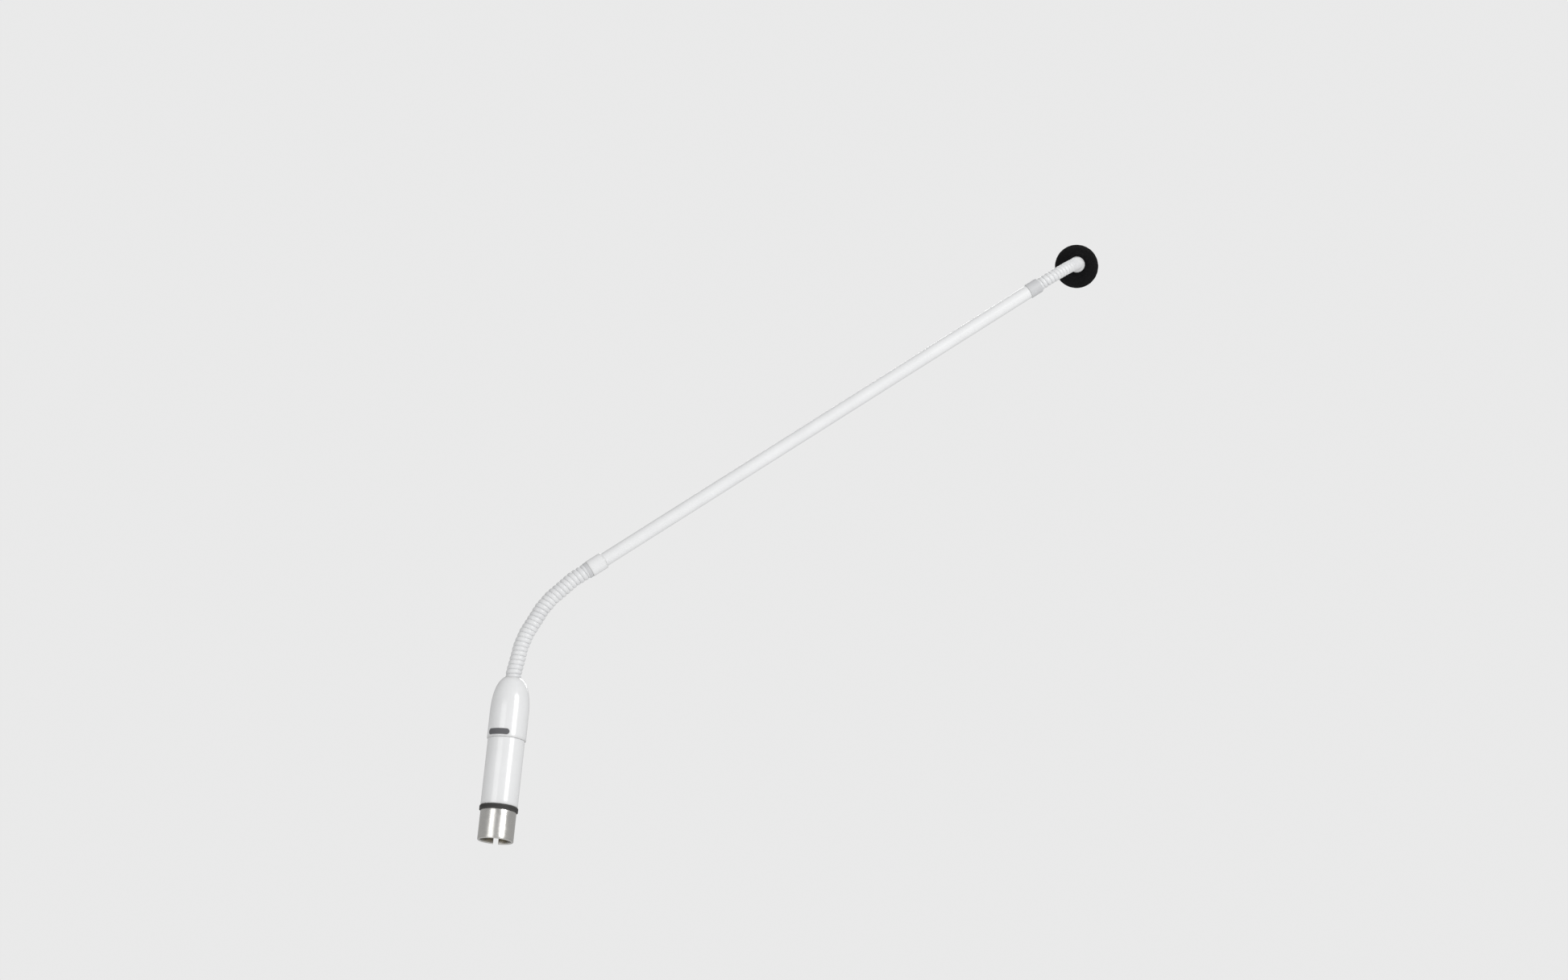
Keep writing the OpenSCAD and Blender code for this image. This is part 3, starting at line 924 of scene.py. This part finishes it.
@dataclass
class PlugBase:
    """The base that plugs into the desk: nose, contacts, rubber ring, shell, sleeve and what they hold."""

    nose_r: float = 9.3
    nose_len: float = 15.5
    nose_bore_r: float = 8.0
    tail_r: float = 8.2
    shoulder_h: float = 0.5
    tail_top: float = 9.0
    gasket_r: float = 10.0
    gasket_h: float = 2.5
    shell_r: float = 9.6
    shell_bore_r: float = 8.3
    shell_top: float = 37.5
    spigot_r: float = 8.75
    spigot_top: float = 44.0
    sleeve_r: float = 10.1
    sleeve_shoulder: float = 50.0
    sleeve_tip: float = 71.5
    sleeve_power: float = 2.5
    mouth_r: float = 4.4
    lip: float = 0.5
    bush_r: float = 6.65
    bush_top: float = 63.2
    pin_circle_r: float = 4.9
    pin_r: float = 1.2
    pin_stem_r: float = 1.0
    insert_bottom: float = -2.0
    pin_tip: float = -13.5
    pin_tail: float = 10.5
    screw_z: float = 5.8
    screw_hole_d: float = 2.6
    screw_head_d: float = 4.6
    grub_z: float = 56.0
    grub_hole_d: float = 3.1
    outside: float = 12.0
    badge_angle: float = 243.0
    badge_z: float = 40.1
    badge_size: tuple[float, float] = (12.4, 3.1)
    badge_t: float = 0.16
    pin_angles: tuple[int, int, int] = (0, 180, 270)
    window: tuple[float, float, float] = (4.4, 6.0, 3.2)
    window_z: float = -7.0
    key_slot: tuple[float, float, float] = (2.6, 6.0, 7.0)

    def build(self) -> None:
        """Builds and dresses every piece of the base."""
        self._nose()
        self._contacts()
        self._gasket()
        self._shell()
        self._sleeve()
        self._badge()
        for node, finish in {"pin_insert": BLACK, "circuit_board": MASK, "board_parts": BLACK,
                             "neck_bush": BRASS, "base_lead": SHEATH, "shell_screw": STEEL,
                             "set_screw": STEEL}.items():
            dress(node, finish)

    def _add(self, obj: bpy.types.Object, finish: Finish, node: str) -> None:
        """Seats a piece of the base and finishes it."""
        Bench.seams(obj)
        finished(Bench.seated(obj, BASE_SEAT), finish, [node], "base")

    def _nose(self) -> None:
        """The plated nose, with its latch window and its key slot."""
        rim = 0.4
        back = self.nose_bore_r + 1
        nose = Bench.turned("plug_nose_shell", [
            (self.nose_bore_r + rim, -self.nose_len), (self.nose_r - rim, -self.nose_len),
            *arc((self.nose_r - rim, -self.nose_len + rim), rim, -90, 0),
            (self.nose_r, 0), (self.nose_r - self.shoulder_h, self.shoulder_h),
            (self.tail_r, self.shoulder_h), (self.tail_r, self.tail_top),
            (self.nose_bore_r, self.tail_top), (self.nose_bore_r, -self.nose_len + rim)], step=1.5)
        Bench.cut(nose, Bench.block(self.window, (0, back, self.window_z)))
        Bench.cut(nose, Bench.block(self.key_slot, (0, back, -self.nose_len)))
        Bench.cut(nose, self._side_hole(self.screw_hole_d, 6, self.screw_z))
        Bench.rounded(nose, 0.12, 2, 40)
        self._add(nose, NICKEL, "plug_nose")

    def _side_hole(self, diameter: float, low: float, height: float) -> bpy.types.Object:
        """Makes a bar that cuts a hole in from the base's back.

        Args:
            diameter: The hole's diameter.
            low: How far from the axis it starts.
            height: Its height on the base.

        Returns:
            The bar.
        """
        bar = Bench.drill(diameter, low, self.outside, Matrix.Rotation(-math.pi / 2, 4, "X"))
        bar.data.transform(Matrix.Translation((0, 0, height * MM)))
        return bar

    def _contacts(self) -> None:
        """Three contact pins with round tips and chamfered tails."""
        soft = 0.3
        pins = []
        for angle in self.pin_angles:
            tip = arc((0.0, self.pin_tip + self.pin_r), self.pin_r, -80, 0, 8)
            stem = [(self.pin_stem_r, self.insert_bottom), (self.pin_stem_r, self.pin_tail - soft),
                    (self.pin_stem_r - soft, self.pin_tail)]
            pin = Bench.rod(f"pin_{angle}", [*tip, (self.pin_r, self.insert_bottom), *stem], 32, 2.0)
            out = Vector((self.pin_circle_r * MM, 0, 0))
            out.rotate(Matrix.Rotation(math.radians(angle), 3, "Z"))
            pin.data.transform(Matrix.Translation(out))
            pins.append(pin)
        self._add(Bench.joined("contacts", pins), CONTACT, "contact_pins")

    def _gasket(self) -> None:
        """The rubber ring between the shell and the desk."""
        foot = 0.3
        lip = 0.6
        fit = 0.05
        inner = self.nose_r + fit
        step = self.shoulder_h + fit
        ring = Bench.turned("rubber_ring", [
            (inner, 0), (self.gasket_r - foot, 0), *arc((self.gasket_r - foot, foot), foot, -90, 0),
            *arc((self.gasket_r - lip, self.gasket_h - lip), lip, 0, 90),
            (self.shell_bore_r, self.gasket_h), (self.shell_bore_r, step), (inner, step)], step=1.5)
        self._add(ring, RUBBER, "gasket_ring")

    def _shell(self) -> None:
        """The glossy lower shell, with the hole for its screw."""
        edge = 0.5
        soft = 0.25
        sink = 0.9
        shell = Bench.turned("lower_shell", [
            (self.shell_bore_r, self.gasket_h), (self.shell_r - edge, self.gasket_h),
            *arc((self.shell_r - edge, self.gasket_h + edge), edge, -90, 0),
            *arc((self.shell_r - soft, self.shell_top - soft), soft, 0, 90, 3),
            (self.spigot_r, self.shell_top), (self.spigot_r, self.spigot_top),
            (self.shell_bore_r, self.spigot_top)], step=2.0)
        for diameter, low in ((self.screw_hole_d, 6.0), (self.screw_head_d, self.shell_r - sink)):
            Bench.cut(shell, self._side_hole(diameter, low, self.screw_z))
        Bench.rounded(shell, 0.08, 2, 50)
        self._add(shell, ENAMEL, "shell")

    def _nose_radius(self, z: float) -> float:
        """Returns the sleeve's half-width at a height on its round nose."""
        rise = (z - self.sleeve_shoulder) / (self.sleeve_tip - self.sleeve_shoulder)
        return self.sleeve_r * (1 - rise ** self.sleeve_power) ** (1 / self.sleeve_power)

    def _sleeve(self) -> None:
        """The bullet-shaped sleeve over the shell's upper end."""
        edge = 0.4
        steps = 30
        soft = 0.25
        bush_seat = self.spigot_top + 2
        lip_r = self.mouth_r + self.lip
        lip_z = self.sleeve_shoulder + (self.sleeve_tip - self.sleeve_shoulder) * (
            1 - (lip_r / self.sleeve_r) ** self.sleeve_power) ** (1 / self.sleeve_power)
        rise = [self.sleeve_shoulder + (lip_z - self.sleeve_shoulder) * math.sin(math.pi / 2 * k / steps)
                for k in range(1, steps)]
        socket_r = self.spigot_r + 0.05
        sleeve = Bench.turned("sleeve_body", [
            (socket_r, self.shell_top), (self.sleeve_r - edge, self.shell_top),
            *arc((self.sleeve_r - edge, self.shell_top + edge), edge, -90, 0),
            (self.sleeve_r, self.sleeve_shoulder), *[(self._nose_radius(z), z) for z in rise],
            (lip_r, lip_z - 0.15), *arc((lip_r - soft, lip_z - soft), soft, 20, 90, 3),
            (self.mouth_r, lip_z - 0.1), (self.mouth_r, self.bush_top),
            (self.bush_r, self.bush_top), (self.bush_r, bush_seat), (socket_r, bush_seat)],
            step=2.0)
        Bench.cut(sleeve, self._side_hole(self.grub_hole_d, 6, self.grub_z))
        Bench.rounded(sleeve, 0.08, 2, 55)
        self._add(sleeve, ENAMEL, "sleeve")

    def _badge(self) -> None:
        """A plain dark bar with round ends, wrapped on the sleeve's lower edge."""
        width, height = self.badge_size
        strips = 12
        rim = 0.25
        gap = 0.02
        Bench.clear()
        bpy.ops.mesh.primitive_circle_add(vertices=48, radius=height / 2 * MM, fill_type="NGON")
        bar = Bench.new("badge_bar")
        Bench.edit(bar)
        bpy.ops.mesh.select_all(action="DESELECT")
        Bench.close()
        for side in (-1, 1):
            for vertex in bar.data.vertices:
                if vertex.co.x * side > 1e-7:
                    vertex.co.x += side * (width - height) / 2 * MM
        Bench.edit(bar)
        bpy.ops.mesh.inset(thickness=rim * MM, depth=0)
        bpy.ops.mesh.select_all(action="SELECT")
        bpy.ops.mesh.extrude_region_move(TRANSFORM_OT_translate={"value": (0, 0, self.badge_t * MM)})
        for k in range(1, strips):
            bpy.ops.mesh.select_all(action="SELECT")
            x = (-width / 2 + width * k / strips) * MM
            bpy.ops.mesh.bisect(plane_co=(x, 0, 0), plane_no=(1, 0, 0))
        bpy.ops.mesh.select_all(action="SELECT")
        bpy.ops.mesh.normals_make_consistent(inside=False)
        Bench.close()
        for vertex in bar.data.vertices:
            across, rise, out = vertex.co
            radius = (self.sleeve_r + gap) * MM + out
            angle = math.radians(self.badge_angle) + across / (self.sleeve_r * MM)
            vertex.co = (radius * math.cos(angle), radius * math.sin(angle), self.badge_z * MM + rise)
        self._add(bar, INK, "badge")


@dataclass
class Winding:
    """One bendable neck: a wire wound over a core, in one piece for each bending point."""

    side: Side
    radius: float
    turns: int
    foot_len: float
    end_len: float
    foot_body: str
    end_body: str
    node: str
    wire_sides: int = 14
    wire_steps: int = 64
    wire_depth: float = 0.72
    overlap: float = 1.04
    core_share: float = 1.05
    smooth: float = 60.0

    def build(self, layout: Layout) -> None:
        """Builds the whole neck.

        Args:
            layout: The microphone's places.
        """
        pitch = layout.pitch(self.side)
        bends = layout.bends[self.side]
        last = len(bends) + 1
        lead = pitch / self.turns
        foot = self._stretch("foot", -math.ceil(self.foot_len / lead) * lead, 0, pitch)
        self._held(foot, layout.foot(self.side), 1, self.foot_body)
        for k, bend in enumerate(bends):
            nodes = [f"{self.node}_{k + 2}"] if k + 2 < last else []
            self._crossing(layout, k, bend, pitch, nodes)
        end = self._stretch("end", 0, math.ceil(self.end_len / lead) * lead, pitch)
        self._held(end, layout.end(self.side), last, self.end_body)

    def _held(self, piece: bpy.types.Object, seat: Seat, number: int, body: str) -> None:
        """Seats a straight stretch that one body holds.

        Args:
            piece: The stretch.
            seat: Its place.
            number: Number of the coil section that it stands for.
            body: The body that holds it.
        """
        finished(Bench.seated(piece, seat, self.smooth), COIL_PAINT, [f"{self.node}_{number}"], body)

    def _stretch(self, name: str, low: float, high: float, pitch: float) -> bpy.types.Object:
        """Winds a straight stretch of whole turns.

        Args:
            name: The stretch's own name, added to the neck's.
            low: Height of its lower end.
            high: Height of its upper end.
            pitch: Distance between two bending points.

        Returns:
            The stretch, upright at the origin.
        """
        lead = pitch / self.turns
        half_h = lead / 2 * self.overlap
        wire_r = self.radius - self.wire_depth
        Bench.clear()
        bpy.ops.mesh.primitive_circle_add(
            vertices=self.wire_sides, radius=half_h * MM, rotation=(math.pi / 2, 0, 0))
        wire = Bench.new(f"{self.side.value}_wire")
        Bench.edit(wire)
        bpy.ops.transform.resize(value=(self.wire_depth / half_h, 1, 1), center_override=(0, 0, 0))
        bpy.ops.transform.translate(value=(wire_r * MM, 0, low * MM))
        Bench.close()
        wind = wire.modifiers.new("wind", "SCREW")
        wind.angle = 2 * math.pi
        wind.screw_offset = lead * MM
        wind.iterations = max(1, round((high - low) / lead))
        wind.steps = wind.render_steps = self.wire_steps
        wind.use_merge_vertices = False
        Bench.apply(wire)
        Bench.edit(wire)
        bpy.ops.mesh.remove_doubles(threshold=MERGE / 10)
        bpy.ops.mesh.fill_holes(sides=0)
        bpy.ops.mesh.select_all(action="SELECT")
        bpy.ops.mesh.normals_make_consistent(inside=False)
        Bench.close()
        core_r = self.radius - self.wire_depth * self.core_share
        core = Bench.rod("core", [(core_r, low), (core_r, high)], FINE // 2, pitch / 12)
        wire.data.materials.append(COIL_PAINT.build())
        # the core's dark grey is painted shade in the grooves between the turns
        core.data.materials.append(COIL_GROOVE_SHADE.build())
        return Bench.joined(f"{self.side.value}_winding_{name}", [wire, core])

    def _crossing(self, layout: Layout, k: int, bend: Bend, pitch: float, nodes: list[str]) -> None:
        """Winds the stretch that crosses one bending point, bent as the neck rests.

        Args:
            layout: The microphone's places.
            k: The bending point's number.
            bend: The bending point.
            pitch: Distance between two bending points.
            nodes: The nodes that the stretch stands for.
        """
        piece = self._stretch(str(k + 1), -pitch / 2, pitch / 2, pitch)
        angle = bend.angle()
        for vertex in piece.data.vertices:
            share = min(1.0, max(0.0, vertex.co.z / (pitch * MM) + 0.5))
            share = share * share * (3 - 2 * share)
            vertex.co = Quaternion((0, 1, 0), angle * share) @ vertex.co
        Bench.seated(piece, layout.bend_seat(self.side, k), self.smooth)
        finished(piece, COIL_PAINT, nodes, None)
        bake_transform(piece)


@dataclass
class Arm:
    """The rigid tube with the collar at its foot and the ring at its upper end."""

    coil_end: float = 4.5
    ring_h: float = 2.0
    ring_r: float = 4.25
    collar_len: float = 9.0
    collar_r: float = 4.45
    tube_r: float = 3.6
    tube_wall: float = 0.8
    bore_r: float = 1.4
    length: float = 295.0
    coil_foot: float = 6.0
    upper_ring_len: float = 7.0
    upper_ring_r: float = 4.0
    neck_r: float = 3.35

    def build(self, layout: Layout) -> None:
        """Builds and dresses every piece of the arm.

        Args:
            layout: The microphone's places.
        """
        seat = layout.end(Side.LOWER)
        fit = 0.05
        edge = 0.5
        foot = self.coil_end + self.ring_h
        tube_foot = foot + 1
        tube_top = self.length - self.coil_foot - 1
        soft = 0.35
        ring = Bench.turned("neck_upper_ring", [
            (self.bore_r, self.coil_end), *arc((self.ring_r - soft, self.coil_end + soft), soft, -90, 0, 4),
            *arc((self.ring_r - soft, foot - soft), soft, 0, 90, 4), (self.bore_r, foot)], step=1.5)
        inner = self.tube_r + fit
        top = foot + self.collar_len
        collar = Bench.turned("tube_collar", [
            (self.bore_r, foot), (self.collar_r - edge, foot),
            *arc((self.collar_r - edge, foot + edge), edge, -90, 0),
            *arc((self.collar_r - edge, top - edge), edge, 0, 90), (inner, top), (inner, tube_foot - fit),
            (self.bore_r, tube_foot - fit)], step=1.5)
        bore = self.tube_r - self.tube_wall
        tube = Bench.turned("rigid_tube", [
            (bore, tube_foot), (self.tube_r, tube_foot), (self.tube_r, tube_top), (bore, tube_top)],
            step=4.0)
        low = tube_top - self.upper_ring_len / 2
        high = low + self.upper_ring_len
        edge = 0.2
        round_top = 0.45
        upper = Bench.turned("tube_upper_ring", [
            (inner, low), *arc((self.upper_ring_r - edge, low + edge), edge, -90, 0, 4),
            *arc((self.upper_ring_r - round_top, high - round_top), round_top, 0, 90), (self.neck_r, high),
            (self.neck_r, tube_top + fit), (inner, tube_top + fit)], step=1.5)
        for obj, finish, node in ((ring, GREY, "neck_end_ring"), (collar, ENAMEL, "collar"),
                                  (tube, TUBE_PAINT, "tube"), (upper, GREY, "upper_collar")):
            Bench.seams(obj, 1.5)
            finished(Bench.seated(obj, seat), finish, [node], "arm")
        dress("tube_lead", SHEATH)


@dataclass
class Head:
    """The capsule housing behind and inside the windscreen."""

    coil_end: float = 2.0
    housing_foot: float = 5.0
    housing_r: float = 4.3
    housing_len: float = 22.0
    housing_wall: float = 0.75
    floor: float = 1.2
    bore_r: float = 1.4
    neck_r: float = 3.5

    def build(self, layout: Layout) -> None:
        """Builds and dresses every piece of the head.

        Args:
            layout: The microphone's places.
        """
        seat = layout.end(Side.UPPER)
        foot = self.housing_foot
        top = foot + self.housing_len
        fit = 0.05
        soft = 0.15
        edge = 0.4
        ring = Bench.turned("head_cone", [
            (self.bore_r, self.coil_end), (self.neck_r - 0.2, self.coil_end),
            (self.neck_r, self.coil_end + 0.2),
            (self.housing_r - fit, foot - 0.7), (self.housing_r, foot - 0.5), (self.housing_r, foot - fit),
            (self.bore_r, foot - fit)], step=1.0)
        inner = self.housing_r - self.housing_wall
        shell = Bench.turned("capsule_housing", [
            (self.bore_r, foot), (self.housing_r - soft, foot), (self.housing_r, foot + soft),
            *arc((self.housing_r - edge, top - edge), edge, 0, 90), (inner, top), (inner, foot + self.floor),
            (self.bore_r, foot + self.floor)], step=2.0)
        for obj, node in ((ring, "head_ring"), (shell, "housing")):
            Bench.seams(obj)
            finished(Bench.seated(obj, seat), ENAMEL, [node], "head")
        for node, finish in {"capsule": CAN, "capsule_seat": RUBBER, "grille": CAN,
                             "head_lead": SHEATH}.items():
            dress(node, finish)


@dataclass
class Windscreen:
    """The foam windscreen: an egg with a fuller front, bored from behind, with an open-celled surface."""

    foot: float = 4.6
    length: float = 30.0
    radius: float = 11.9
    middle_share: float = 0.52
    housing_r: float = 4.3
    gap: float = 0.15
    mouth: float = 1.6
    housing_top: float = 27.0
    skin: float = 0.25
    cell: float = 0.62
    lump: float = 3.2

    def build(self, layout: Layout) -> None:
        """Builds the windscreen.

        Args:
            layout: The microphone's places.
        """
        bore_r = self.housing_r + self.gap
        middle = self.length * self.middle_share
        cosine = (bore_r + self.mouth) / self.radius
        rear = middle * math.sqrt(1 - cosine * cosine)
        Bench.clear()
        bpy.ops.mesh.primitive_ico_sphere_add(subdivisions=7, radius=MM)
        foam = Bench.new("foam_windscreen")
        for vertex in foam.data.vertices:
            half = (middle if vertex.co.z < 0 else self.length - rear) - self.skin
            wide = self.radius - self.skin
            vertex.co = (vertex.co.x * wide, vertex.co.y * wide, vertex.co.z * half)
        foam.data.transform(Matrix.Translation((0, 0, rear * MM)))
        below = 6
        base_h = 10
        clear = 0.4
        Bench.cut(foam, Bench.drill(2 * bore_r, -below, self.housing_top + clear - self.foot))
        Bench.cut(foam, Bench.block((40, 40, base_h), (0, 0, self.skin - base_h / 2)))
        smooth = [v.co.copy() for v in foam.data.vertices]
        self._skin(foam, "lumps", "CLOUDS", self.lump, self.skin * 0.5)
        self._skin(foam, "cells", "VORONOI", self.cell, self.skin * 0.9)
        Bench.apply(foam)
        self._keep_bore(foam, smooth, bore_r)
        Bench.seated(foam, layout.end(Side.UPPER).along(self.foot), 80)
        finished(foam, FOAM, ["windscreen"], "windscreen")

    @staticmethod
    def _skin(foam: bpy.types.Object, name: str, kind: str, size: float, depth: float) -> None:
        """Adds one layer of relief to the foam's surface.

        Args:
            foam: The windscreen.
            name: The layer's name.
            kind: The pattern.
            size: Size of its cells, in millimetres.
            depth: Depth from its lowest to its highest point, in millimetres.
        """
        pattern = bpy.data.textures.new(name, kind)
        pattern.noise_scale = size * MM
        layer = foam.modifiers.new(name, "DISPLACE")
        layer.texture = pattern
        layer.texture_coords = "LOCAL"
        layer.strength = depth * MM
        layer.mid_level = 0.5

    def _keep_bore(self, foam: bpy.types.Object, smooth: list[Vector], bore_r: float) -> None:
        """Puts the bore's wall back where it was, and marks how proud of the foam each point stands, for
        painted shade on the low points and in the bore.

        Args:
            foam: The windscreen, with its relief.
            smooth: Where each point was before the relief.
            bore_r: The bore's radius, in millimetres.
        """
        mark = foam.data.attributes.new("proud_unshaded", "FLOAT", "POINT")
        values = []
        for vertex, was in zip(foam.data.vertices, smooth):
            inside = math.hypot(was.x, was.y) < (bore_r + 0.05) * MM
            if inside:
                vertex.co = was
            lift = (vertex.co - was).dot(vertex.normal) / (self.skin * MM)
            # painted shade: the bore and the low points get a lower mark, and so a darker colour
            values.append(0.25 if inside else min(1.0, max(0.0, 0.6 + lift)))
        mark.data.foreach_set("value", values)


# ---------------------------------------------------------------------------
# The studio
# ---------------------------------------------------------------------------


@dataclass
class Studio:
    """A plain pale floor, soft light all round and the camera."""

    camera_from: Vector = field(default_factory=lambda: Vector((0.0864, -2.2916, -0.4278)))
    camera_up: Vector = field(default_factory=lambda: Vector((-0.0919, 0.0097, 0.9957)))
    aim: Vector = field(default_factory=lambda: Vector((0.130, 0.0, 0.185)))
    lens: float = 104.0
    floor_z: float = -1.15
    floor_size: float = 16.0
    floor_white: float = 0.86
    floor_glow: float = 0.13
    surround: float = 0.46
    clear_white: float = 0.82

    def build(self) -> None:
        """Builds the floor, the light and the camera."""
        self._camera()
        self._floor()
        self._surround()
        self._softbox("key", Vector((1.35, -1.7, 0.8)), 0.9, 23.0)
        self._softbox("fill", Vector((-1.2, -1.8, 0.2)), 1.2, 8.0)
        self._softbox("back", Vector((0.4, 1.7, 1.4)), 1.2, 14.0)

    def _camera(self) -> None:
        """Places the camera at the viewing angle: a little below the base, looking up along +Y."""
        Bench.clear()
        bpy.ops.object.camera_add(location=self.camera_from)
        camera = bpy.context.active_object
        camera.name = "camera"
        look = (self.aim - self.camera_from).normalized()
        side = look.cross(self.camera_up).normalized()
        up = side.cross(look)
        turn = Matrix((side, up, -look)).transposed().to_4x4()
        camera.matrix_world = Matrix.Translation(self.camera_from) @ turn
        camera.data.lens = self.lens
        camera.data.clip_start = 0.05
        camera.data.clip_end = 50
        camera.data.dof.use_dof = False
        bpy.context.scene.camera = camera
        bpy.context.scene.view_settings.view_transform = "Standard"

    def _floor(self) -> None:
        """Lays the pale floor far below, where the desk stands on it."""
        Bench.clear()
        bpy.ops.mesh.primitive_plane_add(size=self.floor_size, location=(0, 0, self.floor_z))
        floor = Bench.new("floor")
        paper = bpy.data.materials.new("pale_floor")
        paper.use_nodes = True
        shader = paper.node_tree.nodes["Principled BSDF"]
        shader.inputs["Base Color"].default_value = (*[self.floor_white] * 3, 1)
        shader.inputs["Roughness"].default_value = 0.8
        shader.inputs["Emission Color"].default_value = (1, 1, 1, 1)
        shader.inputs["Emission Strength"].default_value = self.floor_glow
        floor.data.materials.append(paper)

    def _surround(self) -> None:
        """Surrounds the microphone with white, softer as light than it looks to the camera."""
        world = bpy.data.worlds.new("surround")
        bpy.context.scene.world = world
        world.use_nodes = True
        sheet = Sheet(world.node_tree)
        seen = sheet.add("ShaderNodeLightPath").outputs["Is Camera Ray"]
        light = sheet.add("ShaderNodeBackground", {"Color": (1, 1, 1, 1), "Strength": self.surround})
        white = sheet.add("ShaderNodeBackground", {"Color": (1, 1, 1, 1), "Strength": self.clear_white})
        mix = sheet.add("ShaderNodeMixShader")
        out = sheet.add("ShaderNodeOutputWorld")
        sheet.wire(seen, mix.inputs[0])
        sheet.wire(light.outputs[0], mix.inputs[1])
        sheet.wire(white.outputs[0], mix.inputs[2])
        sheet.wire(mix.outputs[0], out.inputs["Surface"])

    def _softbox(self, name: str, place: Vector, size: float, watts: float) -> None:
        """Hangs one soft square light that faces the microphone.

        Args:
            name: The light's name.
            place: Where it hangs, in metres.
            size: Its side, in metres.
            watts: Its power.
        """
        Bench.clear()
        bpy.ops.object.light_add(type="AREA", location=place)
        lamp = bpy.context.active_object
        lamp.name = name
        lamp.data.shape = "SQUARE"
        lamp.data.size = size
        lamp.data.energy = watts
        lamp.rotation_mode = "QUATERNION"
        lamp.rotation_quaternion = (self.aim - place).to_track_quat("-Z", "Y")


def main() -> None:
    """Builds the microphone, piece by piece, and then the studio."""
    logging.basicConfig(level=logging.INFO, format="%(name)s: %(message)s")
    layout = Layout()
    PlugBase().build()
    Winding(Side.LOWER, 4.1, 3, 17.0, 5.5, "base", "arm", "lower_coil").build(layout)
    Arm().build(layout)
    Winding(Side.UPPER, 3.3, 2, 5.5, 3.2, "arm", "head", "upper_coil").build(layout)
    Head().build(layout)
    Windscreen().build(layout)
    Studio().build()


if __name__ == "__main__":
    main()
